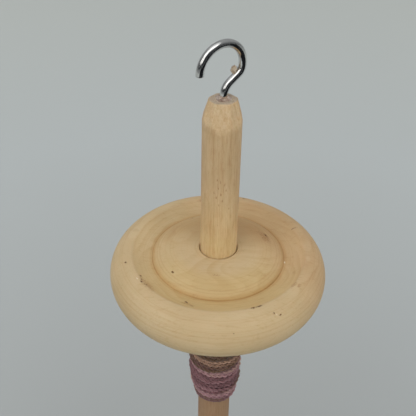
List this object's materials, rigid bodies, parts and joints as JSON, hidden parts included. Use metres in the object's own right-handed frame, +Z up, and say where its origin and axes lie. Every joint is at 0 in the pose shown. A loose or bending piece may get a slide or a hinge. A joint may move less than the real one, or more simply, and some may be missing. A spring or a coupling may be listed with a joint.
{
  "type": "drop spindle",
  "caption": "Top-whorl drop spindle: whittled dowel shaft, turned wooden whorl with grooved hub, polished screw hook and a cop of wound wool yarn.",
  "frame": {"origin": "where the spindle hangs: on the shaft's axis, level with the inside of the hook's crown", "axes": "+Z up the shaft from its foot to the hook; the hook's plane stands 38 degrees from +X towards +Y, its open side towards -X and -Y"},
  "size_m": [0.0764, 0.0764, 0.3245],
  "materials": {
    "shaft_wood": "bare sanded dowel",
    "whorl_wood": "bare turned wood",
    "hook_steel": "polished bright plating",
    "glue": "glossy dried clear glue",
    "yarn": "handspun wool in brown, mauve and pink"
  },
  "bodies": {
    "spindle": {"shaft": "shaft_wood", "screw_hook": "hook_steel", "glue_collar": "glue", "yarn_cop": "yarn"},
    "whorl": {"whorl": "whorl_wood"}
  },
  "joints": [
    {"name": "whorl_slide", "type": "slide", "parent": "spindle", "child": "whorl", "axis": [0, 0, 1], "range_m": [0, 0.048]}
  ]
}
